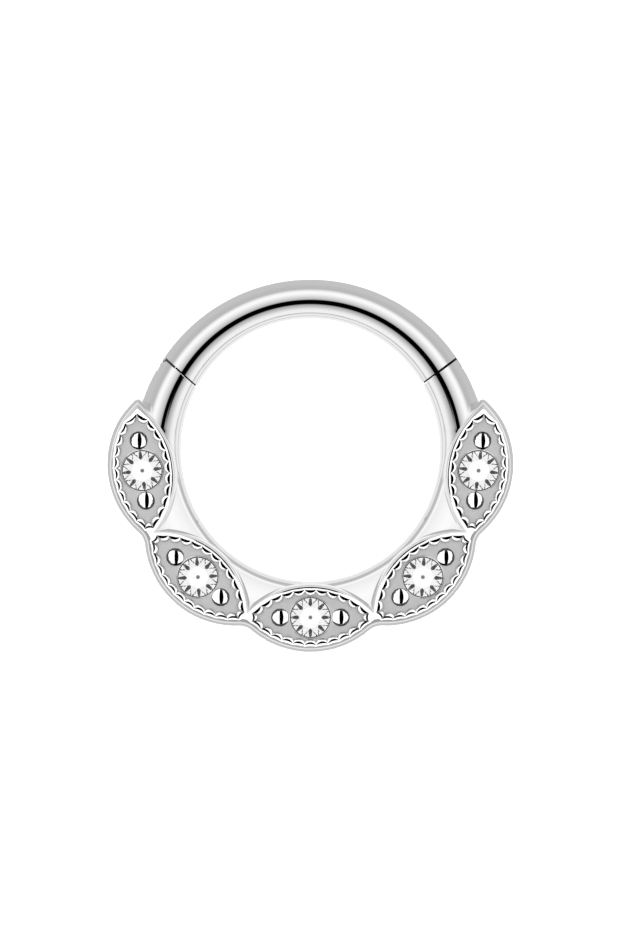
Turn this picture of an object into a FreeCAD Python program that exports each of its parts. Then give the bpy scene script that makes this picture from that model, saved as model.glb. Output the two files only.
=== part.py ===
import FreeCAD, Part
import math
import os
import re
import Sketcher
from FreeCAD import Placement, Rotation, Vector

# Septum ring: a hinged segment clicker with five marquise settings, lying on its back.
# Millimetres and degrees. +Z is the ring's axis with the stones up, +Y runs to the hinged
# segment, and the origin is the middle of the hole on the plane that the back rests on.

os.makedirs("parts", exist_ok=True)
doc = FreeCAD.newDocument("SeptumRing")
UP = Vector(0, 0, 1)

# Driving sizes
SIZES = {
    # the hole, a little taller than wide
    "hole_half_width": 3.95,
    "hole_half_height": 4.015,
    # round wire, 16 gauge at the top and swelling down both sides
    "wire_radius_top": 0.596,
    "wire_swell": 0.13,
    "wire_centre_height": 0.73,
    "wire_end_angle": 2,
    # seams of the hinged segment: middle of the wire and direction from the hole outwards
    "hinge_seam_x": -3.953,
    "hinge_seam_y": 2.357,
    "hinge_seam_angle": 138.1,
    "catch_seam_x": 3.96,
    "catch_seam_y": 2.42,
    "catch_seam_angle": 36.7,
    "seam_gap": 0.04,
    # hinge
    "pin_radius": 0.1,
    "pin_length": 0.66,
    "pin_along_seam": 0.44,
    "knuckle_radius": 0.2,
    "knuckle_gap": 0.025,
    "tongue_bore_gap": 0.02,
    "ear_bore_gap": 0.012,
    "tongue_height": 0.32,
    "slot_height": 0.36,
    "slot_back_gap": 0.035,
    "lip_angle": 44,
    # catch
    "catch_reach": 0.32,
    "catch_depth": 0.22,
    # marquise settings, measured over their bevelled rims
    "setting_step": 41.5,
    "end_setting_distance": 5.17,
    "side_setting_distance": 5.18,
    "bottom_setting_distance": 5.11,
    "rim_half_length": 2.166,
    "rim_half_width": 1.05,
    "rim_height": 1.55,
    "bevel_width": 0.105,
    "bevel_drop": 0.2,
    "back_bevel": 0.08,
    "valley_radius": 0.6,
    "tip_radius": 0.22,
    # scalloped recess
    "recess_inset": 0.09,
    "recess_half_length": 1.79,
    "recess_point_reach": 1.745,
    "floor_height": 1.25,
    "wall_run": 0.1,
    "lobe_bulge": 0.1,
    "lobes_per_side": 11,
    # beads beside each stone
    "bead_distance": 0.925,
    "bead_radius": 0.272,
    # round brilliant stones
    "stone_radius": 0.6,
    "stone_gap": 0.02,
    "girdle_low": 1.21,
    "girdle_high": 1.24,
    "stone_top": 1.41,
    "stone_bottom": 0.71,
    "table_share": 0.56,
    "kite_spread": 1.02,
    "kite_rise": 1.12,
    "main_share": 0.24,
    "main_depth_share": 0.8,
    "light_hole_radius": 0.22,
    # web between the settings and the hole
    "web_outer_radius": 5.3,
    "web_inner_height": 1.25,
    "web_outer_height": 1.38,
    "web_flat_radius": 4.56,
    "web_sag": 0.05,
    "web_end_angle": 10,
    "web_edge_radius": 0.5,
    "web_back_radius": 0.5,
    # how far a cutting tool passes the surface it cuts
    "tool_overrun": 0.1,
}

sheet = doc.addObject("Spreadsheet::Sheet", "Sizes")
for row, (alias, value) in enumerate(SIZES.items(), start=1):
    sheet.set(f"A{row}", alias.replace("_", " "))
    sheet.set(f"B{row}", str(value))
    sheet.setAlias(f"B{row}", alias)
doc.recompute()


def size(alias):
    """A driving size, read from the sheet."""
    return float(getattr(sheet, alias))


def bind(obj, **expressions):
    """Ties properties to the sheet: words such as wire_radius_top stand for Sizes.wire_radius_top."""
    for prop, expression in expressions.items():
        bound = re.sub(r"[a-z]+(_[a-z]+)+", lambda word: "Sizes." + word.group(), expression)
        obj.setExpression(prop.replace("__", "."), bound)
    return obj


def polar(angle, distance, height=0.0):
    """A point at a distance from the ring's axis."""
    turn = math.radians(angle)
    return Vector(distance * math.cos(turn), distance * math.sin(turn), height)


# Booleans and extrusions
def cut(name, base, tool):
    obj = doc.addObject("Part::Cut", name)
    obj.Base = base
    obj.Tool = tool
    return obj


def common(name, base, tool):
    obj = doc.addObject("Part::Common", name)
    obj.Base = base
    obj.Tool = tool
    return obj


def fuse(name, shapes):
    obj = doc.addObject("Part::MultiFuse", name)
    obj.Shapes = shapes
    return obj


def prism(name, corners, bottom, height):
    """An upright prism on a polygon sketch, from the height bottom."""
    sketch = doc.addObject("Sketcher::SketchObject", name + "Outline")
    for start, end in zip(corners, corners[1:] + corners[:1]):
        sketch.addGeometry(Part.LineSegment(start, end), False)
    bind(sketch, Placement__Base__z=bottom)
    solid = doc.addObject("Part::Extrusion", name)
    solid.Base = sketch
    solid.DirMode = "Custom"
    solid.Dir = UP
    solid.Solid = True
    return bind(solid, LengthFwd=height)


# The wire
def hole_radius(angle):
    """Distance from the middle to the hole's edge, which is an ellipse."""
    turn = math.radians(angle)
    return 1 / math.hypot(
        math.cos(turn) / size("hole_half_width"), math.sin(turn) / size("hole_half_height")
    )


def wire_radius(angle):
    return size("wire_radius_top") + size("wire_swell") * (1 - math.sin(math.radians(angle)))


def wire_ring(angle):
    """One round section of the wire, standing across it."""
    ring = doc.addObject("Part::Circle", "WireSection")
    centre = polar(angle, hole_radius(angle) + wire_radius(angle), size("wire_centre_height"))
    ring.Placement = Placement(centre, Rotation(UP, angle) * Rotation(Vector(1, 0, 0), 90))
    turn = math.radians(angle)
    return bind(ring, Radius=f"wire_radius_top + wire_swell * (1 - {math.sin(turn):.9f})")


def wire_loft():
    count = 13
    first = size("wire_end_angle")
    step = (180 - 2 * first) / (count - 1)
    loft = doc.addObject("Part::Loft", "Wire")
    loft.Sections = [wire_ring(first + i * step) for i in range(count)]
    loft.Solid = True
    loft.Ruled = False
    return loft


# Places at a seam: across is the way from the frame to the hinged segment, outward the way
# from the hole to the outer side of the wire.
class Seam:
    def __init__(self, name, across_turn):
        self.middle = Vector(size(f"{name}_seam_x"), size(f"{name}_seam_y"), 0)
        self.outward = polar(size(f"{name}_seam_angle"), 1)
        self.across = polar(size(f"{name}_seam_angle") + across_turn, 1)

    def point(self, across, outward):
        return self.middle + self.across * across + self.outward * outward

    def box(self, name, across, outward, height):
        """A block between two distances across and two outward, centred on the wire's height."""
        corners = [
            self.point(across[0], outward[0]),
            self.point(across[1], outward[0]),
            self.point(across[1], outward[1]),
            self.point(across[0], outward[1]),
        ]
        return prism(name, corners, f"wire_centre_height - {height} / 2", height)


hinge = Seam("hinge", -90)
catch = Seam("catch", 90)
PIN_PLACE = hinge.point(-size("knuckle_radius"), size("pin_along_seam"))
REACH = 2.0  # well past the wire on both sides
FAR = 8.0  # well outside the ring
SAME = 1e-6  # lengths that differ by less are equal


def segment_span(name, shift):
    """The region between the two seams, its faces moved by shift towards the segment."""
    corners = [
        hinge.point(shift, -REACH),
        hinge.point(shift, REACH),
        Vector(-FAR, FAR, 0),
        Vector(FAR, FAR, 0),
        catch.point(shift, REACH),
        catch.point(shift, -REACH),
    ]
    return prism(name, corners, "-wire_centre_height", "4 * wire_centre_height")


def upright(name, radius, bottom, height, place):
    """An upright cylinder whose sizes are bound to the sheet."""
    post = doc.addObject("Part::Cylinder", name)
    post.Placement = Placement(place, Rotation())
    return bind(post, Radius=radius, Height=height, Placement__Base__z=bottom)


def full_post(name, radius):
    """A cylinder round the hinge's axis that passes through the whole wire."""
    return upright(name, radius, "-wire_centre_height", "4 * wire_centre_height", PIN_PLACE)


def catch_block(name, slack, height):
    """The catch's tongue, or with some slack the slot that it lies in."""
    return catch.box(
        name,
        (-size("catch_reach") - slack, size("catch_reach")),
        (-size("catch_depth") - slack, REACH),
        height,
    )


# The hinged segment
def make_clicker_bar(wire):
    half_gap = size("seam_gap") / 2
    knuckle = size("knuckle_radius")
    along = size("pin_along_seam")
    lip_rise = knuckle * math.tan(math.radians(size("lip_angle")))
    lip = prism(
        "BarLip",
        [
            hinge.point(-knuckle, along),
            hinge.point(half_gap, along),
            hinge.point(half_gap, along + lip_rise * (1 + half_gap / knuckle)),
        ],
        "-wire_centre_height",
        "4 * wire_centre_height",
    )
    span = fuse("BarSpan", [segment_span("BarRegion", half_gap), lip])
    room = full_post("KnuckleRoom", "knuckle_radius + knuckle_gap")

    disc = upright(
        "TongueDisc",
        "knuckle_radius",
        "wire_centre_height - tongue_height / 2",
        "tongue_height",
        PIN_PLACE,
    )
    neck = hinge.box(
        "TongueNeck", (-knuckle, knuckle), (along - knuckle, along + knuckle), "tongue_height"
    )
    tab = catch_block("CatchTab", 0, "tongue_height")
    outline = fuse("BarOutline", [cut("BarClear", span, room), disc, neck, tab])
    bore = full_post("TongueBore", "pin_radius + tongue_bore_gap")
    return cut("ClickerBar", common("BarSolid", wire, outline), bore)


def make_hinge_pin():
    """A PartDesign body: a round sketch padded to the pin's length."""
    body = doc.addObject("PartDesign::Body", "HingePin")
    sketch = sketch_on_floor(body, "PinSketch")
    sketch.addGeometry(Part.Circle(Vector(), UP, size("pin_radius")), False)
    sketch.addConstraint(Sketcher.Constraint("Coincident", 0, 3, -1, 1))
    sketch.addConstraint(Sketcher.Constraint("Radius", 0, size("pin_radius")))
    bind(sketch, **{"Constraints[1]": "pin_radius"})
    pad = body.newObject("PartDesign::Pad", "PinPad")
    pad.Profile = sketch
    bind(pad, Length="pin_length")
    bottom = size("wire_centre_height") - size("pin_length") / 2
    body.Placement = Placement(PIN_PLACE + UP * bottom, Rotation())
    return body


def sketch_on_floor(body, name, offset=None):
    """A sketch on the body's own XY plane, turned and moved by offset."""
    sketch = body.newObject("Sketcher::SketchObject", name)
    planes = {feature.Role: feature for feature in body.Origin.OriginFeatures}
    sketch.AttachmentSupport = [(planes["XY_Plane"], "")]
    sketch.MapMode = "FlatFace"
    if offset is not None:
        sketch.AttachmentOffset = offset
    return sketch


# The five settings
SETTINGS = {
    "left": (-2, "end_setting_distance"),
    "lower_left": (-1, "side_setting_distance"),
    "bottom": (0, "bottom_setting_distance"),
    "lower_right": (1, "side_setting_distance"),
    "right": (2, "end_setting_distance"),
}


def setting_place(name, height=0.0):
    """A setting's middle, with local X along the marquise and local Y towards the hole."""
    steps, distance = SETTINGS[name]
    angle = 270 + steps * size("setting_step")
    return Placement(polar(angle, size(distance), height), Rotation(UP, angle + 90))


def rim_arc_radius(half_length, half_width):
    return (half_length**2 + half_width**2) / (2 * half_width)


def marquise_sketch(body, name):
    """Two equal arcs that meet in points, symmetrical about the sketch's origin."""
    half_length, half_width = size("rim_half_length"), size("rim_half_width")
    radius = rim_arc_radius(half_length, half_width)
    reach = math.asin(half_length / radius)
    sketch = sketch_on_floor(body, name.title().replace("_", "") + "Marquise", setting_place(name))
    for side in (1, -1):
        circle = Part.Circle(Vector(0, side * (half_width - radius), 0), UP, radius)
        middle = side * math.pi / 2
        sketch.addGeometry(Part.ArcOfCircle(circle, middle - reach, middle + reach), False)
    sketch.addConstraint(
        [
            Sketcher.Constraint("Coincident", 0, 1, 1, 2),
            Sketcher.Constraint("Coincident", 0, 2, 1, 1),
            Sketcher.Constraint("Equal", 0, 1),
            Sketcher.Constraint("Symmetric", 0, 1, 0, 2, -1, 1),
            Sketcher.Constraint("PointOnObject", 0, 1, -1),
            Sketcher.Constraint("DistanceX", 0, 2, 0, 1, 2 * half_length),
            Sketcher.Constraint("Radius", 0, radius),
        ]
    )
    return bind(
        sketch,
        **{
            "Constraints[5]": "2 * rim_half_length",
            "Constraints[6]": "(rim_half_length ^ 2 + rim_half_width ^ 2) / (2 * rim_half_width)",
        },
    )


def edge_names(shape, test):
    return [f"Edge{i}" for i, edge in enumerate(shape.Edges, start=1) if test(edge)]


def is_upright(edge):
    low, high = sorted(vertex.Z for vertex in edge.Vertexes) if len(edge.Vertexes) == 2 else (0, 0)
    return high - low > size("rim_height") / 2


def lies_at(edge, height):
    box = edge.BoundBox
    return abs(box.ZMin - height) < SAME and abs(box.ZMax - height) < SAME


def dress(body, kind, name, test, **expressions):
    """Adds a fillet or chamfer to the edges of the body's last shape that pass the test."""
    base = body.Tip
    feature = body.newObject("PartDesign::" + kind, name)
    feature.Base = (base, edge_names(base.Shape, test))
    bind(feature, **expressions)
    body.Tip = feature
    doc.recompute()
    return feature


def make_settings_block():
    """Five marquise pads in one body, with soft valleys, blunt end tips and bevelled rims."""
    body = doc.addObject("PartDesign::Body", "SettingsBlock")
    for name in SETTINGS:
        sketch = marquise_sketch(body, name)
        pad = body.newObject("PartDesign::Pad", name.title().replace("_", "") + "Pad")
        pad.Profile = sketch
        bind(pad, Length="rim_height")
    doc.recompute()

    def in_valley(edge):
        foot = edge.Vertexes[0].Point
        beyond_middles = math.hypot(foot.x, foot.y) > size("side_setting_distance")
        return is_upright(edge) and foot.y < 0 and beyond_middles

    def at_end_tip(edge):
        return is_upright(edge) and edge.Vertexes[0].Point.y > 0

    def at_rim(edge):
        return lies_at(edge, size("rim_height"))

    def at_back(edge):
        return lies_at(edge, 0)

    dress(body, "Fillet", "ValleyFillet", in_valley, Radius="valley_radius")
    dress(body, "Fillet", "TipFillet", at_end_tip, Radius="tip_radius")
    rim = dress(body, "Chamfer", "RimBevel", at_rim, Size="bevel_drop", Size2="bevel_width")
    rim.ChamferType = "Two distances"
    doc.recompute()
    dress(body, "Chamfer", "BackBevel", at_back, Size="back_bevel")
    return body


def scalloped_wire(extra, height, pointed):
    """The recess's outline, moved inwards by extra: lobes that bulge inwards between cusps."""
    radius = rim_arc_radius(size("rim_half_length"), size("rim_half_width"))
    centre = radius - size("rim_half_width")
    arc = radius - size("bevel_width") - size("recess_inset") - extra
    reach = math.asin((size("recess_half_length") - extra) / arc)
    lobes = int(size("lobes_per_side"))
    turns = [reach - 2 * reach * i / lobes for i in range(lobes + 1)]
    upper = [Vector(arc * math.sin(t), arc * math.cos(t) - centre, height) for t in turns]
    lower = [Vector(-p.x, -p.y, height) for p in upper]
    if pointed:
        point = Vector(size("recess_point_reach") - extra, 0, height)
        upper[0] = point
        lower.pop()
        lower.append(point)
    cusps = upper + lower
    edges = []
    for start, end in zip(cusps, cusps[1:] + cusps[:1]):
        if (end - start).Length < SAME:
            continue
        along = (end - start).normalize()
        inward = Vector(along.y, -along.x, 0)
        middle = (start + end) / 2
        edges.append(Part.Arc(start, middle + inward * size("lobe_bulge"), end).toShape())
    return Part.Wire(edges)


def make_recess(name):
    """The space cut out of a setting, with lobed walls that slope in towards the floor."""
    depth = size("rim_height") - size("floor_height")
    above = size("tool_overrun")
    pointed = name in ("left", "right")
    top = scalloped_wire(-size("wall_run") * above / depth, size("rim_height") + above, pointed)
    foot = scalloped_wire(size("wall_run"), size("floor_height"), pointed)
    shape = Part.makeLoft([top, foot], True, True)
    if name == "left":
        shape = shape.mirror(Vector(), Vector(1, 0, 0))
    recess = doc.addObject("Part::Feature", "Recess")
    recess.Shape = shape
    recess.Placement = setting_place(name)
    return recess


def make_seat(name):
    """A round seat with a cone below it for the stone, and a light hole to the back."""
    place = setting_place(name).Base
    rim = upright(
        "SeatRim",
        "stone_radius + stone_gap",
        "girdle_low - stone_gap",
        "stone_gap + tool_overrun",
        place,
    )
    cone = doc.addObject("Part::Cone", "SeatCone")
    cone.Placement = Placement(place, Rotation())
    bind(
        cone,
        Radius1="0",
        Radius2="stone_radius + stone_gap",
        Height="girdle_low - stone_bottom",
        Placement__Base__z="stone_bottom - stone_gap",
    )
    hole = upright(
        "LightHole", "light_hole_radius", "-tool_overrun", "stone_bottom + 3 * tool_overrun", place
    )
    return [rim, cone, hole]


def make_beads(name):
    """Two round beads on the recess's floor, one each side of the stone."""
    place = setting_place(name, size("floor_height"))
    beads = []
    for side in (1, -1):
        bead = doc.addObject("Part::Sphere", "Bead")
        middle = place.multVec(Vector(side * size("bead_distance"), 0, 0))
        bead.Placement = Placement(middle, Rotation())
        beads.append(bind(bead, Radius="bead_radius"))
    return beads


# The web along the hole
def make_web():
    """A dished plate turned about the ring's axis, trimmed to the hole and rounded along it."""
    inner = size("hole_half_width") / 2
    flat, outer = size("web_flat_radius"), size("web_outer_radius")
    low, high = size("web_inner_height"), size("web_outer_height")
    middle = Vector((flat + outer) / 2, (low + high) / 2 - size("web_sag"), 0)
    section = doc.addObject("Sketcher::SketchObject", "WebSection")
    corners = [Vector(flat, low, 0), Vector(inner, low, 0), Vector(inner, 0, 0), Vector(outer, 0, 0)]
    corners.append(Vector(outer, high, 0))
    for start, end in zip(corners, corners[1:]):
        section.addGeometry(Part.LineSegment(start, end), False)
    section.addGeometry(Part.Arc(corners[-1], middle, corners[0]), False)
    start_angle = 180 - size("web_end_angle")
    stand = Rotation(UP, start_angle) * Rotation(Vector(1, 0, 0), 90)
    section.Placement = Placement(Vector(), stand)
    plate = doc.addObject("Part::Revolution", "WebPlate")
    plate.Source = section
    plate.Axis = UP
    plate.Solid = True
    bind(plate, Angle="180 + 2 * web_end_angle")

    rim = doc.addObject("Part::Ellipse", "HoleRim")
    rim.Placement = Placement(Vector(0, 0, -1), Rotation(UP, 90))
    bind(rim, MajorRadius="hole_half_height", MinorRadius="hole_half_width")
    hole = doc.addObject("Part::Extrusion", "Hole")
    hole.Base = rim
    hole.DirMode = "Custom"
    hole.Dir = UP
    hole.Solid = True
    bind(hole, LengthFwd="4 * web_outer_height")
    web = cut("WebCut", plate, hole)
    doc.recompute()

    rounded = doc.addObject("Part::Fillet", "Web")
    rounded.Base = web
    edges = []
    for number, edge in enumerate(web.Shape.Edges, start=1):
        inside = all(math.hypot(v.X, v.Y) < size("hole_half_height") + SAME for v in edge.Vertexes)
        for height, radius in ((low, "web_edge_radius"), (0, "web_back_radius")):
            if inside and lies_at(edge, height) and edge.Length > 1:
                edges.append((number, size(radius), size(radius)))
    rounded.Edges = edges
    return rounded


# The cast frame
def make_ring_frame(wire):
    half_gap = size("seam_gap") / 2
    knuckle = size("knuckle_radius")
    along = size("pin_along_seam")
    stubs = cut("WireEnds", wire, segment_span("OpenSpan", -half_gap))
    blank = fuse("FrameBlank", [make_settings_block(), make_web(), stubs])

    corner = cut(
        "KnuckleCorner",
        hinge.box("CornerBlock", (-knuckle, knuckle), (along, REACH), "4 * wire_centre_height"),
        full_post("KnuckleRound", "knuckle_radius"),
    )
    back = 2 * knuckle + size("slot_back_gap")
    slot = hinge.box(
        "HingeSlot",
        (-back, knuckle),
        (along - knuckle - size("slot_back_gap"), REACH),
        "slot_height",
    )
    bore = upright(
        "EarBore",
        "pin_radius + ear_bore_gap",
        "-tool_overrun",
        "wire_centre_height + pin_length / 2 + ear_bore_gap + tool_overrun",
        PIN_PLACE,
    )
    pocket = catch_block("CatchSlot", size("slot_back_gap"), "slot_height")
    tools = [corner, slot, bore, pocket]
    beads = []
    for name in SETTINGS:
        tools.append(make_recess(name))
        tools += make_seat(name)
        beads += make_beads(name)
    carved = cut("FrameCarved", blank, fuse("FrameTools", tools))
    return fuse("RingFrame", [carved] + beads)


# The stones
def brilliant():
    """A round brilliant: a table, eight star facets, eight kites split in two and sixteen
    half facets down to the girdle, and below it the mains and halves down to a point."""
    radius = size("stone_radius")
    table = radius * size("table_share")
    low, high, top = size("girdle_low"), size("girdle_high"), size("stone_top")
    tip = Vector(0, 0, size("stone_bottom"))
    sides = 8
    half = 180 / sides
    crown_mid = (table + radius) / 2

    def ring(distance, height, shift, count=sides):
        return [polar(360 / count * i + shift, distance, height) for i in range(count)]

    def slope_height(distance, share):
        return high + (top - high) * share * (radius - distance) / (radius - table)

    table_ring = ring(table, top, 0)
    kite_ring = ring(
        crown_mid * size("kite_spread"), slope_height(crown_mid, size("kite_rise")), half
    )
    girdle_top = ring(radius, high, 0, 2 * sides)
    girdle_low = ring(radius, low, 0, 2 * sides)
    main_depth = (tip.z - low) * size("main_depth_share")
    main_ring = ring(radius * size("main_share"), low + main_depth, 0)

    faces = [table_ring]
    for i in range(sides):
        after, before = (i + 1) % sides, (i - 1) % sides
        faces.append([table_ring[i], kite_ring[i], table_ring[after]])
        faces.append([table_ring[i], kite_ring[before], girdle_top[2 * i]])
        faces.append([table_ring[i], girdle_top[2 * i], kite_ring[i]])
        faces.append([kite_ring[i], girdle_top[2 * i], girdle_top[2 * i + 1]])
        faces.append([kite_ring[i], girdle_top[2 * i + 1], girdle_top[2 * after]])
        faces.append([main_ring[i], girdle_low[2 * i], girdle_low[2 * i + 1]])
        faces.append([main_ring[i], girdle_low[2 * i + 1], main_ring[after]])
        faces.append([main_ring[after], girdle_low[2 * i + 1], girdle_low[2 * after]])
        faces.append([tip, main_ring[i], main_ring[after]])
    for i in range(2 * sides):
        after = (i + 1) % (2 * sides)
        faces.append([girdle_low[i], girdle_low[after], girdle_top[after], girdle_top[i]])
    shell = Part.makeShell([Part.Face(Part.makePolygon(f + f[:1])) for f in faces])
    solid = Part.makeSolid(shell)
    if solid.Volume < 0:
        solid.reverse()
    return solid


def make_stone(name):
    stone = doc.addObject("Part::Feature", "Stone")
    stone.Shape = brilliant()
    stone.Placement = setting_place(name)
    return stone


def main():
    wire = wire_loft()
    parts = {
        "ring_frame": make_ring_frame(wire),
        "clicker_bar": make_clicker_bar(wire),
        "hinge_pin": make_hinge_pin(),
    }
    for name in SETTINGS:
        parts["stone_" + name] = make_stone(name)
    for label, part in parts.items():
        part.Label = label
    doc.recompute()

    for obj in doc.Objects:
        if "Invalid" in obj.State or "Error" in obj.State:
            raise RuntimeError(f"{obj.Label} did not compute: {obj.State}")
    for label, part in parts.items():
        shape = part.Shape
        if shape.isNull() or not shape.isValid() or len(shape.Solids) != 1:
            raise RuntimeError(f"{label} isn't one valid solid")
        shape.exportStep(f"parts/{label}.step")
        print(f"{label}: {shape.Volume:.3f} mm3, {len(shape.Faces)} faces")


main()
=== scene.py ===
import math
import bmesh
import bpy
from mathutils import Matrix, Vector


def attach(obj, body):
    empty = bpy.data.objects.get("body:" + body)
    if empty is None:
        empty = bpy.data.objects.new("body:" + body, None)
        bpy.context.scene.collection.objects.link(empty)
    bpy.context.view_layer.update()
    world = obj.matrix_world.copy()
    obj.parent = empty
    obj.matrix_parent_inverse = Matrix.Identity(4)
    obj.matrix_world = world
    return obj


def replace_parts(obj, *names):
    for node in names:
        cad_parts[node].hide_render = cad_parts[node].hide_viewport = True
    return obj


# Septum ring: a hinged wire segment closes a cast lower half with five marquise settings.
# It lies on its back. +Z is the ring's axis with the stones up and +Y runs to the hinged segment.
# Pieces are modelled in millimetres, and finish_piece scales them to metres.
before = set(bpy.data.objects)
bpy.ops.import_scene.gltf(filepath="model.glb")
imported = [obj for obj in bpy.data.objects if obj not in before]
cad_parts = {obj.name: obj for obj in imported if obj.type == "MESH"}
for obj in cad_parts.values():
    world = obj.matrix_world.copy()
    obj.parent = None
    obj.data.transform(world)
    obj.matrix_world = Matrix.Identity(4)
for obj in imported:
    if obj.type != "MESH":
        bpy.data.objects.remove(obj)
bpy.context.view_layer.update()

MM = 0.001
SAME = 1e-4  # millimetres: points closer than this are one
SMOOTH_ANGLE = 30  # degrees: faces that meet at less than this are shaded as one

# The hole, and the round wire along it
HOLE_HALF_WIDTH = 3.95
HOLE_HALF_HEIGHT = 4.015
WIRE_RADIUS_TOP = 0.5955
WIRE_SWELL = 0.13
WIRE_HEIGHT = 0.73
SECTION_POINTS = 96
SECTION_STEP = 1.0  # degrees round the ring from one wire section to the next
SEGMENT_SPAN = (16, 164)  # degrees round the hole, past both seams, where the wire is then cut
FRAME_SPAN = (50, -230)
ROUND_POINTS = 64

# The web between the settings and the hole
WEB_EDGE = 0.42
WEB_EDGE_TURN = 68
WEB_SHOULDER = 1.0
WEB_REACH = 1.3
WEB_SLOPE_START = 0.4
WEB_SLOPE_END = 0.62
WEB_BLEND = (8, -16)  # degrees above and below the ring's middle where wire turns into web

# Hinge and catch
HINGE_MIDDLE = (-3.953, 2.357)
HINGE_OUTWARD = 138.1
CATCH_MIDDLE = (3.96, 2.42)
CATCH_OUTWARD = 36.7
SEAM_GAP = 0.07
PIN_ALONG = 0.44
KNUCKLE = 0.2
KNUCKLE_GAP = 0.035
LIP_ANGLE = 44
TONGUE_HEIGHT = 0.32
SLOT_HEIGHT = 0.36
SLOT_BACK_GAP = 0.035
BORE = 0.12
CATCH_REACH = 0.32
CATCH_DEPTH = 0.22
SHADOW_INSET = 0.03
SHADOW_DEPTH = 0.05
SHADOW_SHIFT = 0.01  # across and outwards, from the seam's middle
REACH = 2.0  # past the wire on every side
ALL_HEIGHT = (-1.0, 3.0)  # from under the back to over the rims

# The settings, measured over their bevelled rims
SETTINGS = {"left": -2, "lower_left": -1, "bottom": 0, "lower_right": 1, "right": 2}
SETTING_STEP = 41.5
SETTING_DISTANCE = (5.1095, 5.18, 5.1695)
RIM_HALF_LENGTH = 2.166
RIM_HALF_WIDTH = 1.05
RIM_HEIGHT = 1.55
RIM_ARC = (RIM_HALF_LENGTH**2 + RIM_HALF_WIDTH**2) / (2 * RIM_HALF_WIDTH)
BEVEL_WIDTH = 0.08
BEVEL_DROP = 0.2
CREST_RADIUS = 0.08
CREST_STEPS = 5
BACK_BEVEL = 0.08
VALLEY_RADIUS = 0.6
TIP_RADIUS = 0.14
TIP = (5.4, 1.5)  # of the right end setting, before it is drawn out
TIP_PULL = (-0.13, 0.07)  # towards the wire and upwards, at the tip itself
TIP_PULL_REACH = 1.0
SHANK_OVERLAP = 0.1
END_ARC_STEPS = 64
ARC_STEPS = 56
VALLEY_STEPS = 14
TIP_STEPS = 10

# The scalloped recess
RECESS_INSET = 0.195
RECESS_ARC = RIM_ARC - RECESS_INSET
RECESS_HALF_LENGTH = 1.79
RECESS_POINT = 1.745
LOBES = 11
LOBE_POINTS = 8
LOBE_BULGE = 0.1
LOBE_RUN = 0.08
LOBE_WALL_RUN = 0.015
LOBE_DROP = 0.008
LOBE_STEPS = 5
CUT_SINK = 0.002  # the lobes' upper edge lies this far below the rim
LOBE_SINK = 0.003
GROOVE_BULGE = {"hole": 0.012, "outer": 0.035}
GROOVE_DEPTH = 0.09
FLOOR_HEIGHT = 1.25

# Stone seats and beads
SEAT_POINTS = 48
SEAT_RADIUS = 0.62
SEAT_HEIGHT = 1.19
COLLAR_WIDTH = 0.035
COLLAR_RISE = 0.02
COLLAR_PROFILE = [(0, 0), (0.2, 0.8), (0.5, 1), (0.8, 0.7), (1, -1)]  # shares of width and rise
SEAT_DRAFT = 0.0005
LIGHT_HOLE = 0.22
LIGHT_HOLE_HEIGHT = 0.87
BEAD_DISTANCE = 0.925
BEAD_RADIUS = 0.272
BEAD_RISE = 0.1
BEAD_FOOT = 0.06

# The photograph: size in pixels, where the hole's middle lies, and pixels to a millimetre
PHOTO = (621, 931)
PHOTO_MIDDLE = (310.4, 450.0)
PHOTO_SCALE = 32.75
LENS = 700.0
SENSOR = 36.0
VIEW_HEIGHT = 0.75  # the height in the ring that the scale is true for

# Studio
FLOOR_SIZE = 600.0
FLOOR_BELOW = -0.005
TENT_RADIUS = 60.0
TENT_HEIGHT = 18.7
TENT_FOOT = -0.1
PANEL_HEIGHT = 18.2
TENT_STRENGTH = 1.12
WORLD_STRENGTH = 2.6
# Glow against distance from the ring's axis, in millimetres. The dark middle is the camera's lens.
CEILING_ABOVE = [
    (0, 0), (2.95, 0), (3.35, 0.36), (4.6, 0.47), (6.4, 0.6), (8.3, 0.67), (10.2, 0.76), (12.3, 0.84),
    (14.7, 0.92), (18, 0.98), (20.5, 0.95), (24.5, 0.88), (29.7, 0.69), (37, 0.52), (50, 0.47),
]
CEILING_BELOW = [
    (0, 0), (5.4, 0), (6.2, 0.2), (7.2, 0.33), (8.2, 0.38), (11.3, 0.5), (15.2, 0.57), (20.5, 0.7),
    (28, 0.8), (40, 0.88),
]
WALL_ABOVE = [(0, 0.5)]
WALL_BELOW = [(0, 0.88)]
TABLE = [(0, 0.86), (1.6, 0.86), (1.8, 0.5), (2.1, 0.5), (2.3, 0.86), (4.1, 0.86), (4.6, 0.54)]
SIDE_BLEND = 0.15  # how soft the change is between above and below
# Panels that light only the beads, the settings or the stones. A bead's two panels leave a dark gap
# between them: side, way, gap from the setting's middle and width.
BEAD_PANELS = [("left", -1, 2.5, 50), ("right", 1, 8.6, 40)]
BEAD_PANEL_LENGTH = 90
BEAD_PANEL_ALONG = 15
BEAD_PANEL_GLOW = 1.05
SIDE_PANEL_AWAY = 45
SIDE_PANEL_HEIGHT = 9
SIDE_PANEL_WIDTH = 18
SIDE_PANEL_GLOW = 0.5
RIM_PANEL_SIZE = (5.4, 4.4)
RIM_PANEL_GLOW = 1.0
STONE_DISC = 19.0
STONE_DISC_GLOW = 0.92
STONE_SURROUND = 90
STONE_SURROUND_GLOW = 0.06
LAMP_SPREAD = 4  # an area lamp's radiance is its power over four times its area


# Places
def polar(angle, distance, height=0.0):
    turn = math.radians(angle)
    return Vector((distance * math.cos(turn), distance * math.sin(turn), height))


def hole_radius(angle):
    turn = math.radians(angle)
    return 1 / math.hypot(math.cos(turn) / HOLE_HALF_WIDTH, math.sin(turn) / HOLE_HALF_HEIGHT)


def wire_radius(angle):
    return WIRE_RADIUS_TOP + WIRE_SWELL * (1 - max(0, math.sin(math.radians(angle))))


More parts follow.
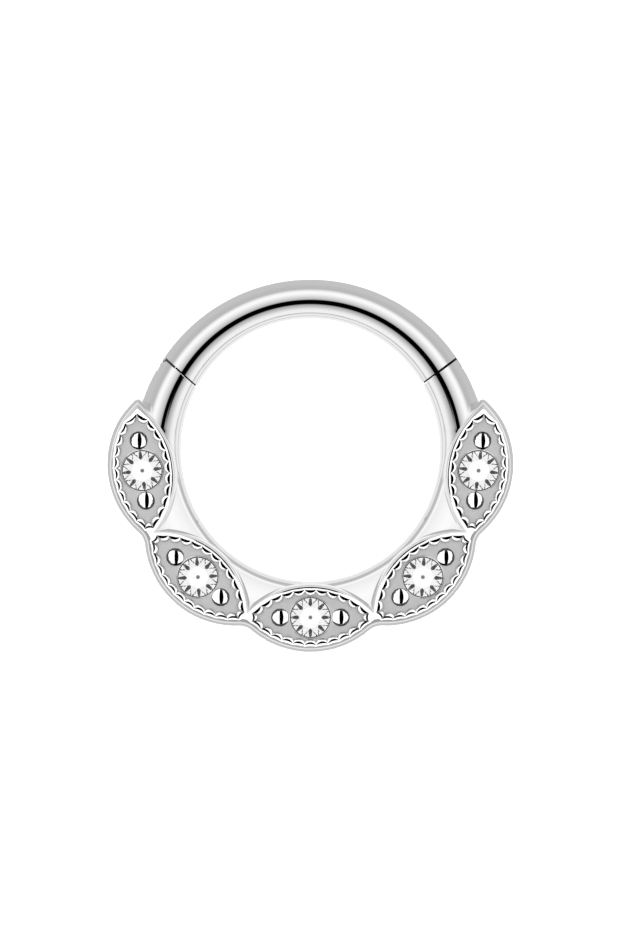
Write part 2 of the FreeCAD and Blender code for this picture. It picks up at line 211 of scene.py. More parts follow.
def crossing(first, first_radius, second, second_radius, outer):
    """Where two circles cross: of the two points, the one further from the ring's middle or not."""
    way = second - first
    along = (way.length**2 + first_radius**2 - second_radius**2) / (2 * way.length)
    aside = math.sqrt(first_radius**2 - along**2)
    unit = way.normalized()
    foot = first + unit * along
    points = [foot + Vector((-unit.y, unit.x, 0)) * aside * side for side in (1, -1)]
    return max(points, key=lambda p: p.length) if outer else min(points, key=lambda p: p.length)


class Seam:
    """A seam of the hinged segment. Across points from the cast frame to the segment."""

    def __init__(self, middle, outward, across_turn):
        self.angle = outward
        self.turn = across_turn
        self.middle = Vector((*middle, 0))
        self.outward = polar(outward, 1)
        self.across = polar(outward + across_turn, 1)

    def point(self, across, outward, height=0.0):
        return self.middle + self.across * across + self.outward * outward + Vector((0, 0, height))


HINGE = Seam(HINGE_MIDDLE, HINGE_OUTWARD, -90)
CATCH = Seam(CATCH_MIDDLE, CATCH_OUTWARD, 90)
PIN = HINGE.point(-KNUCKLE, PIN_ALONG)


# Modelling helpers
def deselect():
    bpy.ops.object.select_all(action="DESELECT")


def activate(piece):
    deselect()
    piece.select_set(True)
    bpy.context.view_layer.objects.active = piece


def edit(piece):
    activate(piece)
    bpy.ops.object.mode_set(mode="EDIT")


def done():
    bpy.ops.object.mode_set(mode="OBJECT")


def choose(piece, kind, test):
    """Selects what passes the test, in edit mode. kind is VERT, EDGE or FACE."""
    bpy.ops.mesh.select_mode(type=kind)
    bpy.ops.mesh.select_all(action="DESELECT")
    mesh = bmesh.from_edit_mesh(piece.data)
    for part in {"VERT": mesh.verts, "EDGE": mesh.edges, "FACE": mesh.faces}[kind]:
        if test(part):
            part.select_set(True)
    mesh.select_flush_mode()
    bmesh.update_edit_mesh(piece.data)


def level(height):
    """A test for what lies wholly at a height."""

    def test(part):
        corners = part.verts if hasattr(part, "verts") else [part]
        return all(abs(v.co.z - height) < SAME for v in corners)

    return test


def new_piece(name):
    piece = bpy.context.object
    piece.name = piece.data.name = name
    bpy.ops.object.transform_apply(location=True, rotation=True, scale=True)
    return piece


def spot(name, place):
    """A new piece of one point, from which an outline is drawn by spinning."""
    deselect()
    bpy.ops.mesh.primitive_plane_add(size=1, location=place)
    piece = new_piece(name)
    edit(piece)
    bpy.ops.mesh.select_mode(type="VERT")
    bpy.ops.mesh.select_all(action="SELECT")
    bpy.ops.mesh.merge(type="CENTER")
    return piece


def sweep_point(centre, end, steps, clockwise=False):
    """Spins the selected point about the centre until it lies on the line from there to end."""
    mesh = bmesh.from_edit_mesh(bpy.context.object.data)
    start = next(v.co.copy() for v in mesh.verts if v.select)
    centre = Vector((centre.x, centre.y, start.z))
    first = math.atan2(start.y - centre.y, start.x - centre.x)
    last = math.atan2(end.y - centre.y, end.x - centre.x)
    turn = (last - first) % (2 * math.pi)
    if clockwise:
        turn -= 2 * math.pi
    bpy.ops.mesh.spin(steps=steps, angle=-turn, center=centre, axis=(0, 0, 1))


def close_outline():
    bpy.ops.mesh.select_all(action="SELECT")
    bpy.ops.mesh.remove_doubles(threshold=SAME)


def join(name, pieces):
    deselect()
    for piece in pieces:
        piece.select_set(True)
    bpy.context.view_layer.objects.active = pieces[0]
    bpy.ops.object.join()
    pieces[0].name = pieces[0].data.name = name
    return pieces[0]


def walled(name, outlines):
    """One piece with walls between each outline and the next, each at a height of its own."""
    heights = [outline.data.vertices[0].co.z for outline in outlines]
    piece = join(name, outlines)
    edit(piece)
    for one, other in zip(heights, heights[1:]):
        choose(piece, "EDGE", lambda edge: level(one)(edge) or level(other)(edge))
        bpy.ops.mesh.bridge_edge_loops()
    done()
    return piece


def copy_of(piece, name, angle, place, mirrored=False):
    """A copy with a mesh of its own, turned about the vertical and moved."""
    copy = piece.copy()
    copy.data = piece.data.copy()
    bpy.context.collection.objects.link(copy)
    copy.name = copy.data.name = name
    copy.location = place
    copy.rotation_euler.z = math.radians(angle)
    copy.scale.x = -1 if mirrored else 1
    activate(copy)
    bpy.ops.object.transform_apply(location=True, rotation=True, scale=True)
    return copy


def carve(piece, tool, operation):
    """A boolean whose tool is used up."""
    activate(piece)
    bpy.ops.object.modifier_add(type="BOOLEAN")
    cutter = piece.modifiers[-1]
    cutter.operation = operation
    cutter.solver = "EXACT"
    cutter.object = tool
    bpy.ops.object.modifier_apply(modifier=cutter.name)
    bpy.data.objects.remove(tool)


def face_outwards(piece):
    edit(piece)
    bpy.ops.mesh.select_all(action="SELECT")
    bpy.ops.mesh.remove_doubles(threshold=SAME)
    bpy.ops.mesh.normals_make_consistent(inside=False)
    done()


def to_metres(piece):
    activate(piece)
    piece.scale = (MM, MM, MM)
    bpy.ops.object.transform_apply(location=True, rotation=True, scale=True)


def finish_piece(piece, body):
    """Scales a steel piece to metres, shades it and says what it belongs to."""
    to_metres(piece)
    bpy.ops.object.shade_smooth_by_angle(angle=math.radians(SMOOTH_ANGLE))
    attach(piece, body)
    return piece


# The wire and the web
def wire_section(turn, angle):
    """A point of the round wire, as distance from the hole's edge and height."""
    radius = wire_radius(angle)
    return radius * (1 - math.cos(turn)), WIRE_HEIGHT + radius * math.sin(turn)


def web_section(turn):
    """A point of the web: a rounded edge at the hole, then a dish that rises to the settings."""
    edge_turn = math.radians(WEB_EDGE_TURN)
    shoulder = WEB_EDGE * (1 - math.cos(edge_turn))
    if turn <= edge_turn:
        rise = WEB_EDGE * (math.sin(turn) - math.sin(edge_turn))
        return WEB_EDGE * (1 - math.cos(turn)), WEB_SHOULDER + rise
    if turn <= math.pi:
        run = (WEB_REACH - shoulder) * (turn - edge_turn) / (math.pi - edge_turn)
        bend = (WEB_SLOPE_END - WEB_SLOPE_START) / (WEB_REACH - shoulder)
        return shoulder + run, WEB_SHOULDER + WEB_SLOPE_START * run + bend * run**2 / 2
    if turn <= 1.5 * math.pi:
        share = (turn - math.pi) / (math.pi / 2)
        return WEB_REACH - (WEB_REACH - WEB_EDGE) * share, BACK_BEVEL / 2
    return WEB_EDGE * (1 - math.cos(turn)), BACK_BEVEL / 2 + WEB_EDGE * (1 + math.sin(turn))


def web_share(angle):
    """How far the section has turned from wire, 0, into web, 1."""
    above = math.degrees(math.asin(math.sin(math.radians(angle))))
    first, last = WEB_BLEND
    share = min(max((first - above) / (first - last), 0), 1)
    return share * share * (3 - 2 * share)


def shank_section(angle, turn):
    away, height = wire_section(turn, angle)
    share = web_share(angle)
    if share > 0:
        web_away, web_height = web_section(turn)
        away += (web_away - away) * share
        height += (web_height - height) * share
    return polar(angle, hole_radius(angle) + away, height)


def shank(name, first, last):
    """A bar drawn out from a round section and bent round the oval hole, section by section."""
    deselect()
    bpy.ops.mesh.primitive_circle_add(vertices=SECTION_POINTS, radius=1, fill_type="NGON")
    piece = new_piece(name)
    edit(piece)
    count = round(abs(last - first) / SECTION_STEP)
    for _ in range(count):
        bpy.ops.mesh.select_all(action="DESELECT")
        mesh = bmesh.from_edit_mesh(piece.data)
        mesh.faces.ensure_lookup_table()
        top = max(mesh.faces, key=lambda face: face.calc_center_median().z)
        top.select_set(True)
        bmesh.update_edit_mesh(piece.data)
        bpy.ops.mesh.extrude_region_move(TRANSFORM_OT_translate={"value": (0, 0, 1)})
    done()
    for vertex in piece.data.vertices:
        turn = math.atan2(vertex.co.y, vertex.co.x) % (2 * math.pi)
        angle = first + (last - first) * round(vertex.co.z) / count
        vertex.co = shank_section(angle, turn)
    face_outwards(piece)
    return piece


def seam_block(seam, across, outward, bottom, top):
    """A block square to a seam."""
    deselect()
    middle = seam.point(sum(across) / 2, sum(outward) / 2, (bottom + top) / 2)
    bpy.ops.mesh.primitive_cube_add(size=1, location=middle)
    block = bpy.context.object
    block.rotation_euler.z = math.radians(seam.angle + seam.turn)
    block.scale = (across[1] - across[0], outward[1] - outward[0], top - bottom)
    return new_piece("Block")


def post(place, radius, bottom, top):
    deselect()
    bpy.ops.mesh.primitive_cylinder_add(
        vertices=ROUND_POINTS,
        radius=radius,
        depth=top - bottom,
        location=place + Vector((0, 0, (bottom + top) / 2)),
    )
    return new_piece("Post")


def slab(height):
    """The bottom and top of a block centred on the wire's height."""
    return WIRE_HEIGHT - height / 2, WIRE_HEIGHT + height / 2


def through(seam, across, outward):
    """A block at a seam that passes through the wire from back to front."""
    return seam_block(seam, across, outward, *ALL_HEIGHT)


def past_lip(seam):
    """The block beyond the sloping end of the segment's lip, on the cast frame's side."""
    block = through(seam, (-REACH, REACH), (0, REACH))
    edit(block)
    bpy.ops.mesh.select_all(action="SELECT")
    turn = math.radians(LIP_ANGLE)
    slope = seam.across * math.cos(turn) + seam.outward * math.sin(turn)
    bpy.ops.mesh.bisect(
        plane_co=seam.point(-KNUCKLE, PIN_ALONG),
        plane_no=Vector((-slope.y, slope.x, 0)) * (1 if seam.turn > 0 else -1),
        use_fill=True,
        clear_inner=True,
    )
    done()
    carve(block, through(seam, (SEAM_GAP / 2, REACH + 1), (-1, REACH + 1)), "DIFFERENCE")
    return block


def catch_tab(slack, height):
    return seam_block(
        CATCH, (-CATCH_REACH - slack, CATCH_REACH), (-CATCH_DEPTH - slack, REACH), *slab(height)
    )


def segment_wire():
    """The hinged segment: wire between the seams, a knuckle with its bore, and the catch's tongue."""
    half_gap = SEAM_GAP / 2
    bar = shank("segment_wire", *SEGMENT_SPAN)
    tongue = copy_of(bar, "Tongue", 0, (0, 0, 0))
    carve(tongue, catch_tab(0, TONGUE_HEIGHT), "INTERSECT")
    carve(bar, through(CATCH, (-REACH, half_gap), (-REACH, REACH)), "DIFFERENCE")
    carve(bar, through(HINGE, (-REACH, half_gap), (-REACH, PIN_ALONG)), "DIFFERENCE")
    carve(bar, through(HINGE, (-REACH, -KNUCKLE), (-REACH, REACH)), "DIFFERENCE")
    carve(bar, past_lip(HINGE), "DIFFERENCE")
    carve(bar, post(PIN, KNUCKLE + KNUCKLE_GAP, *ALL_HEIGHT), "DIFFERENCE")
    carve(bar, post(PIN, KNUCKLE, *slab(TONGUE_HEIGHT)), "UNION")
    neck = (PIN_ALONG - KNUCKLE, PIN_ALONG + KNUCKLE)
    carve(bar, seam_block(HINGE, (-KNUCKLE, KNUCKLE), neck, *slab(TONGUE_HEIGHT)), "UNION")
    carve(bar, tongue, "UNION")
    carve(bar, post(PIN, BORE, *ALL_HEIGHT), "DIFFERENCE")
    face_outwards(bar)
    return bar


def frame_shank():
    """The cast wire ends and the web between them, with the slots of the hinge and the catch."""
    half_gap = SEAM_GAP / 2
    bar = shank("frame_shank", *FRAME_SPAN)
    carve(bar, through(CATCH, (-half_gap, REACH), (-REACH, REACH)), "DIFFERENCE")
    carve(bar, through(HINGE, (-half_gap, REACH), (-REACH, REACH)), "DIFFERENCE")
    corner = through(HINGE, (-KNUCKLE, KNUCKLE), (PIN_ALONG, REACH))
    carve(corner, post(PIN, KNUCKLE, *ALL_HEIGHT), "DIFFERENCE")
    carve(bar, corner, "DIFFERENCE")
    slot_back = 2 * KNUCKLE + SLOT_BACK_GAP
    slot_start = PIN_ALONG - KNUCKLE - SLOT_BACK_GAP
    slot = seam_block(HINGE, (-slot_back, KNUCKLE), (slot_start, REACH), *slab(SLOT_HEIGHT))
    carve(bar, slot, "DIFFERENCE")
    carve(bar, catch_tab(SLOT_BACK_GAP, SLOT_HEIGHT), "DIFFERENCE")
    carve(bar, settings_core(), "DIFFERENCE")
    face_outwards(bar)
    return bar


def seam_shadow(name, seam):
    """A near-black plate at the segment's end in the seam, a little smaller than the wire: painted shade,
    so that the gap reads dark.
    """
    deselect()
    bpy.ops.mesh.primitive_cylinder_add(
        vertices=ROUND_POINTS,
        radius=wire_radius(seam.angle) - SHADOW_INSET,
        depth=SHADOW_DEPTH,
        location=seam.point(SHADOW_SHIFT, SHADOW_SHIFT, WIRE_HEIGHT),
        rotation=seam.across.to_track_quat("Z", "Y").to_euler(),
    )
    plate = new_piece(name)
    if seam is HINGE:
        edit(plate)
        bpy.ops.mesh.select_all(action="SELECT")
        bpy.ops.mesh.bisect(
            plane_co=seam.point(0, PIN_ALONG - KNUCKLE - KNUCKLE_GAP),
            plane_no=seam.outward,
            use_fill=True,
            clear_outer=True,
        )
        done()
    face_outwards(plate)
    return plate


# The block of five settings
def setting_angle(step):
    return 270 + step * SETTING_STEP


def setting_place(step, height=0.0):
    return polar(setting_angle(step), SETTING_DISTANCE[abs(step)], height)


def arc_centre(step, outer):
    """Centre of a setting's outer arc or of its arc along the hole."""
    shift = RIM_ARC - RIM_HALF_WIDTH
    return polar(setting_angle(step), SETTING_DISTANCE[abs(step)] + (-shift if outer else shift))


def tip_centre(step):
    """Centre of the small rounding at the upper tip of an end setting."""
    radius = RIM_ARC - TIP_RADIUS
    outer, inner = arc_centre(step, True), arc_centre(step, False)
    points = [crossing(outer, radius, inner, radius, far) for far in (True, False)]
    return max(points, key=lambda p: p.y)


def block_outline(inset, height):
    """The outline of the five settings together, moved inwards by inset."""
    radius = RIM_ARC - inset
    left, right = tip_centre(-2), tip_centre(2)
    first = arc_centre(-2, True)
    start = first + (left - first).normalized() * radius
    piece = spot("Outline", start + Vector((0, 0, height)))
    for step in range(-2, 3):
        centre = arc_centre(step, True)
        if step == 2:
            sweep_point(centre, right, END_ARC_STEPS)
            break
        after = arc_centre(step + 1, True)
        valley = crossing(centre, RIM_ARC + VALLEY_RADIUS, after, RIM_ARC + VALLEY_RADIUS, True)
        sweep_point(centre, valley, ARC_STEPS)
        sweep_point(valley, after, VALLEY_STEPS, clockwise=True)
    sweep_point(right, right + (right - arc_centre(2, False)), TIP_STEPS)
    for step in range(2, -3, -1):
        centre = arc_centre(step, False)
        if step == -2:
            sweep_point(centre, left, END_ARC_STEPS)
            break
        corner = crossing(centre, radius, arc_centre(step - 1, False), radius, False)
        sweep_point(centre, corner, ARC_STEPS)
    sweep_point(left, left + (left - first), TIP_STEPS)
    close_outline()
    done()
    return piece


def settings_core():
    """The space inside the settings' walls, through all heights: the shank ends at it."""
    core = walled("Core", [block_outline(SHANK_OVERLAP, height) for height in ALL_HEIGHT])
    edit(core)
    for height in ALL_HEIGHT:
        choose(core, "EDGE", level(height))
        bpy.ops.mesh.fill()
    done()
    face_outwards(core)
    return core


def crest_steps():
    """Insets and heights from the bevel's foot over the rounded crest to the flat rim."""
    slope = math.atan2(BEVEL_DROP, BEVEL_WIDTH)
    tangent = CREST_RADIUS * math.tan(slope / 2)
    centre_inset, centre_height = BEVEL_WIDTH + tangent, RIM_HEIGHT - CREST_RADIUS
    steps = [(0.0, RIM_HEIGHT - BEVEL_DROP)]
    for i in range(CREST_STEPS + 1):
        turn = slope * (1 - i / CREST_STEPS)
        inset = centre_inset - CREST_RADIUS * math.sin(turn)
        steps.append((inset, centre_height + CREST_RADIUS * math.cos(turn)))
    return steps


def lobed_outline(depth, height, bulges, pointed):
    """A recess outline: lobes that bulge inwards between cusps, drawn with the hole side first."""
    arc = RECESS_ARC - depth
    centre = RIM_ARC - RIM_HALF_WIDTH
    reach = math.asin((RECESS_HALF_LENGTH - depth) / arc)
    turns = [reach - 2 * reach * i / LOBES for i in range(LOBES + 1)]
    upper = [Vector((arc * math.sin(t), arc * math.cos(t) - centre, 0)) for t in turns]
    lower = [-point for point in upper]
    cusps = upper + lower
    if pointed:
        cusps = [Vector((RECESS_POINT - depth, 0, 0))] + upper[1:] + lower[:-1]
    piece = spot("Lobes", cusps[0] + Vector((0, 0, height)))
    for i, cusp in enumerate(cusps):
        after = cusps[(i + 1) % len(cusps)]
        bulge = bulges["hole" if i < LOBES else "outer"]
        chord = after - cusp
        radius = (chord.length**2 / 4 + bulge**2) / (2 * bulge)
        middle = (cusp + after) / 2
        outward = Vector((chord.y, -chord.x, 0)).normalized()
        sweep_point(middle + outward * (radius - bulge), after, LOBE_POINTS, clockwise=True)
    close_outline()
    done()
    return piece


def circle_outline(radius, height):
    deselect()
    bpy.ops.mesh.primitive_circle_add(vertices=SEAT_POINTS, radius=radius, location=(0, 0, height))
    return new_piece("Circle")


def setting_insert(name, pointed):
    """One recess from the rim down to the back: groove, lobes, floor, collar, seat and light hole."""
    full = {"hole": LOBE_BULGE, "outer": LOBE_BULGE}
    outlines = [
        (0, RIM_HEIGHT, GROOVE_BULGE),
        (0, RIM_HEIGHT - GROOVE_DEPTH, {k: (v + LOBE_BULGE) / 2 for k, v in GROOVE_BULGE.items()}),
        (0, RIM_HEIGHT - CUT_SINK, full),
    ]
    for i in range(1, LOBE_STEPS + 1):
        turn = math.pi / 2 * i / LOBE_STEPS
        top = RIM_HEIGHT - LOBE_SINK - LOBE_DROP * (1 - math.cos(turn))
        outlines.append((LOBE_RUN * math.sin(turn), top, full))
    outlines.append((LOBE_RUN + LOBE_WALL_RUN, FLOOR_HEIGHT, full))
    walls = walled("Lobes", [lobed_outline(*outline, pointed) for outline in outlines])
    collar = SEAT_RADIUS + COLLAR_WIDTH
    circles = [
        (collar - COLLAR_WIDTH * inwards, FLOOR_HEIGHT + COLLAR_RISE * rise)
        for inwards, rise in COLLAR_PROFILE
    ]
    circles += [
        (SEAT_RADIUS - SEAT_DRAFT, SEAT_HEIGHT),
        (LIGHT_HOLE, LIGHT_HOLE_HEIGHT),
        (LIGHT_HOLE, 0.0),
    ]
    seat = walled("Seat", [circle_outline(*circle) for circle in circles])
    insert = join(name, [walls, seat])
    edit(insert)
    choose(insert, "EDGE", level(FLOOR_HEIGHT))
    bpy.ops.mesh.fill()
    done()
    return insert


def pull_tips(block):
    """Draws the two upper tips out into points that lean towards the wire."""
    for vertex in block.data.vertices:
        side = math.copysign(1, vertex.co.x)
        away = math.hypot(vertex.co.x * side - TIP[0], vertex.co.y - TIP[1])
        share = max(0, 1 - away / TIP_PULL_REACH) ** 2
        vertex.co.x += TIP_PULL[0] * side * share
        vertex.co.y += TIP_PULL[1] * share


def settings_block():
    """The cast block: bevelled outline, flat rim, and five recesses that open through to the back."""
    steps = [(BACK_BEVEL, 0.0), (0.0, BACK_BEVEL)] + crest_steps()
    block = walled("settings_block", [block_outline(*step) for step in steps])
    plain, pointed = setting_insert("Plain", False), setting_insert("Pointed", True)
    inserts = []
    for name, step in SETTINGS.items():
        model = pointed if abs(step) == 2 else plain
        angle = setting_angle(step) + 90
        inserts.append(copy_of(model, name, angle, setting_place(step), mirrored=step == -2))
    for model in (plain, pointed):
        bpy.data.objects.remove(model)
    block = join("settings_block", [block] + inserts)
    edit(block)
    for height in (RIM_HEIGHT, 0.0):
        choose(block, "EDGE", lambda edge: level(height)(edge) and len(edge.link_faces) < 2)
        bpy.ops.mesh.fill()
    done()
    pull_tips(block)
    face_outwards(block)
    return block


def bead(name):
    """A grain raised beside a stone: the cap of a ball on a short upright foot."""
    ball = (BEAD_RADIUS**2 + BEAD_RISE**2) / (2 * BEAD_RISE)
    deselect()
    bpy.ops.mesh.primitive_uv_sphere_add(
        segments=ROUND_POINTS,
        ring_count=ROUND_POINTS,
        radius=ball,
        location=(0, 0, BEAD_FOOT + BEAD_RISE - ball),
    )
    piece = new_piece(name)
    edit(piece)
    bpy.ops.mesh.select_all(action="SELECT")
    bpy.ops.mesh.bisect(plane_co=(0, 0, BEAD_FOOT), plane_no=(0, 0, 1), use_fill=True, clear_inner=True)
    choose(piece, "FACE", level(BEAD_FOOT))
    bpy.ops.mesh.extrude_region_move(TRANSFORM_OT_translate={"value": (0, 0, -BEAD_FOOT - COLLAR_RISE)})
    done()
    face_outwards(piece)
    return piece


def bead_place(step, side):
    return setting_place(step, FLOOR_HEIGHT) + polar(setting_angle(step) + 90, side * BEAD_DISTANCE)


# Finishes
def linear(code):
    """An sRGB hex value as linear red, green and blue with full alpha."""
    parts = [int(code[i : i + 2], 16) / 255 for i in (0, 2, 4)]
    return [c / 12.92 if c <= 0.04045 else ((c + 0.055) / 1.055) ** 2.4 for c in parts] + [1.0]


def add(tree, kind, inputs=None, **settings):
    """Adds a node with its settings. Each input takes a value or another node's output."""
    node = tree.nodes.new("ShaderNode" + kind)
    for name, value in settings.items():
        setattr(node, name, value)
    for name, value in (inputs or {}).items():
        if isinstance(value, bpy.types.NodeSocket):
            tree.links.new(value, node.inputs[name])
        else:
            node.inputs[name].default_value = value
    return node


def new_material(name):
    material = bpy.data.materials.new(name)
    material.use_nodes = True
    material.node_tree.nodes.clear()
    return material, material.node_tree


def ramp(node, stops):
    """Sets a colour ramp's stops from places and grey levels."""
    elements = node.color_ramp.elements
    while len(elements) > 1:
        elements.remove(elements[-1])
    for i, (place, grey) in enumerate(stops):
        element = elements[0] if i == 0 else elements.new(place)
        element.position = place
        element.color = (grey, grey, grey, 1)
    return node.outputs["Color"]


def steel(name, colour, rough, rough_spread, grain, depth):
    """Surgical steel with a fine grain. The grain is in millimetres."""
    material, tree = new_material(name)
    place = add(tree, "TexCoord").outputs["Object"]
    noise = add(tree, "TexNoise", {"Vector": place, "Scale": 1 / (grain * MM), "Detail": 3.0})
    spread = add(
        tree,
        "MapRange",
        {"Value": noise.outputs["Fac"], "To Min": rough - rough_spread, "To Max": rough + rough_spread},
    )
    bump = add(
        tree, "Bump", {"Height": noise.outputs["Fac"], "Strength": 1.0, "Distance": depth * MM}
    )
    surface = add(
        tree,
        "BsdfPrincipled",
        {
            "Base Color": linear(colour),
            "Metallic": 1.0,
            "Roughness": spread.outputs["Result"],
            "Normal": bump.outputs["Normal"],
        },
    )
    add(tree, "OutputMaterial", {"Surface": surface.outputs["BSDF"]})
    return material


def polished_steel():
    """Surgical steel, buffed: a mirror with a faint haze from the wheel, in strokes 0.08 mm apart."""
    return steel("polished_surgical_steel", "F2F2F3", 0.045, 0.015, 0.08, 0.00004)


def satin_steel():
    """Surgical steel left as blasted in the recesses: a soft grey with a grain of 0.04 mm."""
    return steel("blasted_surgical_steel", "C6C6C6", 0.3, 0.05, 0.04, 0.0012)


def painted_shade_steel():
    """Near black, dull steel: painted shade in the grooves round the lobes and on the plates in the seams.
    """
    return steel("painted_shade_dark_steel", "0C0C0E", 0.5, 0.08, 0.03, 0.0005)


def machined_and_painted_shade_steel():
    """Surgical steel as it leaves the cutter, grey and dull, in the hinge and down the lobes. Its dark grey
    is partly painted shade, so that the tongues read dark through the seams.
    """
    return steel("machined_steel_with_painted_shade", "6E6E70", 0.42, 0.06, 0.05, 0.001)


def clear_stone():
    """Cubic zirconia, cut and polished: clear, with hard bright and dark facets."""
    material, tree = new_material("clear_cubic_zirconia")
    surface = add(
        tree,
        "BsdfPrincipled",
        {"Base Color": linear("FFFFFF"), "Roughness": 0.0, "IOR": 2.16, "Transmission Weight": 1.0},
    )
    add(tree, "OutputMaterial", {"Surface": surface.outputs["BSDF"]})
    return material


def give(piece, *materials):
    piece.data.materials.clear()
    for material in materials:
        piece.data.materials.append(material)


def radial_glow(name, above, below):
    """Stage light that follows the distance from the ring's axis, above and below the hole's middle."""
    material, tree = new_material(name)
    place = add(tree, "TexCoord").outputs["Object"]
    unit = 1 / (MM * TENT_RADIUS)
    flat = add(tree, "Mapping", {"Vector": place, "Scale": (unit, unit, 0)}).outputs["Vector"]
    away = add(tree, "VectorMath", {0: flat}, operation="LENGTH").outputs["Value"]
    heading = add(tree, "VectorMath", {0: flat}, operation="NORMALIZE").outputs["Vector"]
    side = add(
        tree,
        "MapRange",
        {
            "Value": add(tree, "SeparateXYZ", {"Vector": heading}).outputs["Y"],
            "From Min": -SIDE_BLEND,
            "From Max": SIDE_BLEND,
        },
        interpolation_type="SMOOTHSTEP",
    )
    lights = []
    for stops in (below, above):
        grade = add(tree, "ValToRGB", {"Fac": away})
        glow = ramp(grade, [(distance / TENT_RADIUS, grey) for distance, grey in stops])
        lights.append(add(tree, "Emission", {"Color": glow, "Strength": TENT_STRENGTH}).outputs["Emission"])
    both = add(tree, "MixShader", {0: side.outputs["Result"], 1: lights[0], 2: lights[1]})
    add(tree, "OutputMaterial", {"Surface": both.outputs["Shader"]})
    return material


# The studio
def stage_piece(name, material):
    piece = new_piece(name)
    to_metres(piece)
    give(piece, material)
    return piece


def reflected_only(piece):
    """Seen by polished metal and through stones, and by nothing else."""
    piece.visible_camera = piece.visible_diffuse = piece.visible_shadow = False


def make_floor():
    material, tree = new_material("white_paper")
    surface = add(tree, "BsdfDiffuse", {"Color": linear("FAFAFA"), "Roughness": 1.0})
    add(tree, "OutputMaterial", {"Surface": surface.outputs["BSDF"]})
    deselect()
    bpy.ops.mesh.primitive_plane_add(size=FLOOR_SIZE, location=(0, 0, FLOOR_BELOW))
    floor = stage_piece("floor", material)
    floor.visible_glossy = floor.visible_transmission = False


def make_tent():
    """A light tent round the ring: a ceiling with the dark lens in its middle, walls and table."""
    glows = {
        "tent_ceiling": (TENT_HEIGHT, CEILING_ABOVE, CEILING_BELOW),
        "tent_table": (TENT_FOOT, TABLE, TABLE),
    }
    deselect()
    for name, (height, above, below) in glows.items():
        bpy.ops.mesh.primitive_circle_add(
            vertices=ROUND_POINTS, radius=TENT_RADIUS, fill_type="NGON", location=(0, 0, height)
        )
        reflected_only(stage_piece(name, radial_glow(name, above, below)))
    bpy.ops.mesh.primitive_cylinder_add(
        vertices=ROUND_POINTS,
        radius=TENT_RADIUS,
        depth=TENT_HEIGHT - TENT_FOOT,
        end_fill_type="NOTHING",
        location=(0, 0, (TENT_HEIGHT + TENT_FOOT) / 2),
    )
    reflected_only(stage_piece("tent_wall", radial_glow("tent_wall", WALL_ABOVE, WALL_BELOW)))


def group(name, pieces, state="INCLUDE"):
    """A set of pieces that a light is linked to, or that it leaves out."""
    pieces_lit = bpy.data.collections.new(name)
    for piece in pieces:
        pieces_lit.objects.link(piece)
    for item in pieces_lit.collection_objects:
        item.light_linking.link_state = state
    return pieces_lit


def panel(name, place, size, radiance, receivers, turn=(0, 0, 0), shape="RECTANGLE"):
    """A soft panel under the ceiling that lights only the receivers. It faces down unless turned."""
    light = bpy.data.lights.new(name, "AREA")
    light.shape = shape
    light.size, light.size_y = size[0] * MM, size[1] * MM
    light.energy = radiance * LAMP_SPREAD * light.size * light.size_y
    if shape == "ELLIPSE":
        light.energy *= math.pi / 4
    lamp = bpy.data.objects.new(name, light)
    bpy.context.collection.objects.link(lamp)
    lamp.location = Vector(place) * MM
    lamp.rotation_euler = [math.radians(angle) for angle in turn]
    lamp.light_linking.receiver_collection = receivers


def stone(name):
    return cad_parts["stone_" + name]


def light_beads(beads):
    """The beads see panels with a dark gap between them, in place of the tent's ceiling and wall."""
    every_bead = [bead for pair in beads.values() for bead in pair]
    for name in ("tent_ceiling", "tent_wall"):
        left_out = group("lit_by_" + name, every_bead + [stone(key) for key in SETTINGS], "EXCLUDE")
        bpy.data.objects[name].light_linking.receiver_collection = left_out
    for name, step in SETTINGS.items():
        middle = setting_place(step)
        pair = group("beads_" + name, beads[name])
        for side, way, gap, width in BEAD_PANELS:
            place = (middle.x + way * (gap + width / 2), BEAD_PANEL_ALONG, PANEL_HEIGHT)
            panel(side + "_" + name, place, (width, BEAD_PANEL_LENGTH), BEAD_PANEL_GLOW, pair)
    every = group("every_bead", every_bead)
    for side, way, _, _ in BEAD_PANELS:
        place = (way * SIDE_PANEL_AWAY, BEAD_PANEL_ALONG, SIDE_PANEL_HEIGHT)
        size = (SIDE_PANEL_WIDTH, BEAD_PANEL_LENGTH)
        panel(side + "_side", place, size, SIDE_PANEL_GLOW, every, (0, way * 90, 0))


def light_settings(block):
    """A small panel over each setting turns its flat rim white."""
    only = group("only_settings", [block])
    for name, step in SETTINGS.items():
        place = setting_place(step, PANEL_HEIGHT)
        turn = (0, 0, setting_angle(step) + 90)
        panel("over_" + name, place, RIM_PANEL_SIZE, RIM_PANEL_GLOW, only, turn, "ELLIPSE")


def light_stones():
    """Each stone sees a bright disc overhead and a dim ceiling round it."""
    for name, step in SETTINGS.items():
        place = setting_place(step, PANEL_HEIGHT)
        size = (STONE_DISC, STONE_DISC)
        only = group("stone_only_" + name, [stone(name)])
        panel("over_stone_" + name, place, size, STONE_DISC_GLOW, only, shape="ELLIPSE")
    every = group("every_stone", [stone(name) for name in SETTINGS])
    size = (STONE_SURROUND, STONE_SURROUND)
    panel("dim_over_stones", (0, 0, PANEL_HEIGHT), size, STONE_SURROUND_GLOW, every, shape="ELLIPSE")


def make_world():
    world = bpy.data.worlds.new("studio")
    bpy.context.scene.world = world
    world.use_nodes = True
    tree = world.node_tree
    tree.nodes.clear()
    light = add(tree, "Background", {"Color": linear("FFFFFF"), "Strength": WORLD_STRENGTH})
    add(tree, "OutputWorld", {"Surface": light.outputs["Background"]})


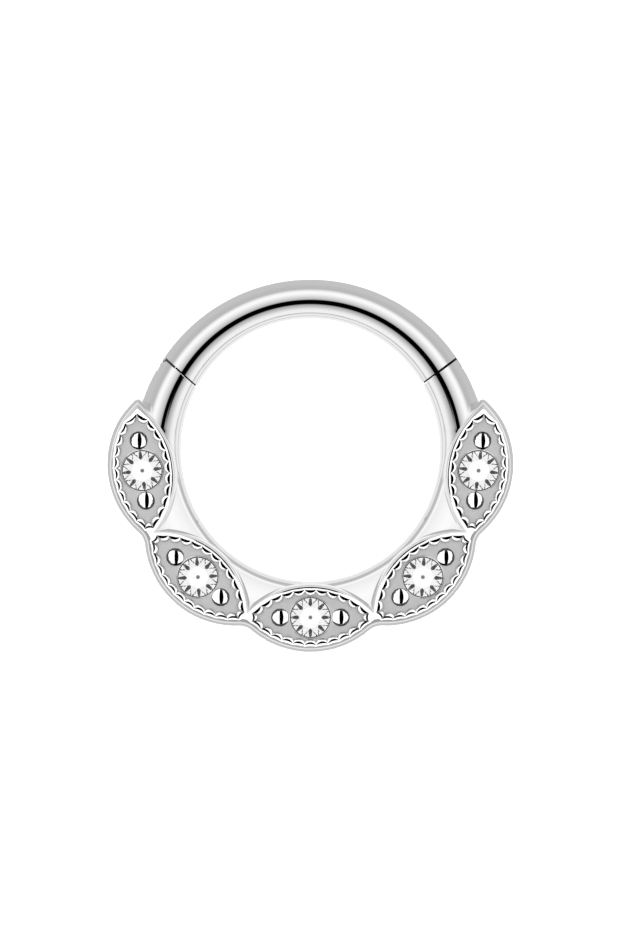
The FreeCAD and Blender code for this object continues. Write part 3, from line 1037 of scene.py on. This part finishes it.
def make_camera():
    """Straight above, in the photograph's frame."""
    width, height = PHOTO
    scene = bpy.context.scene
    camera = bpy.data.cameras.new("photo_view")
    camera.lens, camera.sensor_width = LENS, SENSOR
    distance = LENS * (height / PHOTO_SCALE) / SENSOR
    eye = bpy.data.objects.new("photo_view", camera)
    scene.collection.objects.link(eye)
    aside = (width / 2 - PHOTO_MIDDLE[0]) / PHOTO_SCALE
    along = (PHOTO_MIDDLE[1] - height / 2) / PHOTO_SCALE
    eye.location = Vector((aside, along, VIEW_HEIGHT + distance)) * MM
    scene.camera = eye
    scene.view_settings.view_transform = "Standard"


# The ring
def paint(piece, polished, finishes):
    """Polish all over, and then each other finish on the faces that pass its test."""
    give(piece, polished, *[material for material, _ in finishes])
    edit(piece)
    for index, (_, test) in enumerate(finishes, start=1):
        choose(piece, "FACE", test)
        piece.active_material_index = index
        bpy.ops.object.material_slot_assign()
    done()


def is_groove(face):
    return any(level(RIM_HEIGHT - GROOVE_DEPTH)(vertex) for vertex in face.verts)


def is_lobe_wall(face):
    heights = [vertex.co.z for vertex in face.verts]
    top = max(heights)
    return abs(min(heights) - FLOOR_HEIGHT) < SAME and RIM_HEIGHT - GROOVE_DEPTH < top < RIM_HEIGHT


def build_ring():
    """Makes and finishes every piece. Returns the settings' block, and each setting's two beads."""
    polished, satin, dark, machined_and_shade = polished_steel(), satin_steel(), painted_shade_steel(), machined_and_painted_shade_steel()
    clear = clear_stone()
    segment = segment_wire()
    # The tongues are dull grey on top, where they show only through the seams: a machined finish, darkened
    # as painted shade in the seams.
    paint(segment, polished, [(machined_and_shade, level(WIRE_HEIGHT + TONGUE_HEIGHT / 2))])
    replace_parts(finish_piece(segment, "segment"), "clicker_bar")
    for name, seam in (("seam_shadow_hinge", HINGE), ("seam_shadow_catch", CATCH)):
        plate = seam_shadow(name, seam)
        # Each plate is painted near black: painted shade in the seam.
        give(plate, dark)
        finish_piece(plate, "segment")
    wire = frame_shank()
    give(wire, polished)
    finish_piece(wire, "frame")
    block = settings_block()
    # The grooves round the lobes are painted near black: painted shade.
    paint(block, polished, [(satin, level(FLOOR_HEIGHT)), (dark, is_groove), (machined_and_shade, is_lobe_wall)])
    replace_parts(finish_piece(block, "frame"), "ring_frame")
    model = bead("Bead")
    beads = {name: [] for name in SETTINGS}
    for name, step in SETTINGS.items():
        for number, side in enumerate((1, -1), start=1):
            piece = copy_of(model, f"bead_{name}_{number}", 0, bead_place(step, side))
            give(piece, polished)
            beads[name].append(finish_piece(piece, "frame"))
        give(stone(name), clear)
    bpy.data.objects.remove(model)
    give(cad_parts["hinge_pin"], polished)
    return block, beads


block, beads = build_ring()
make_floor()
make_tent()
make_world()
make_camera()
light_beads(beads)
light_settings(block)
light_stones()
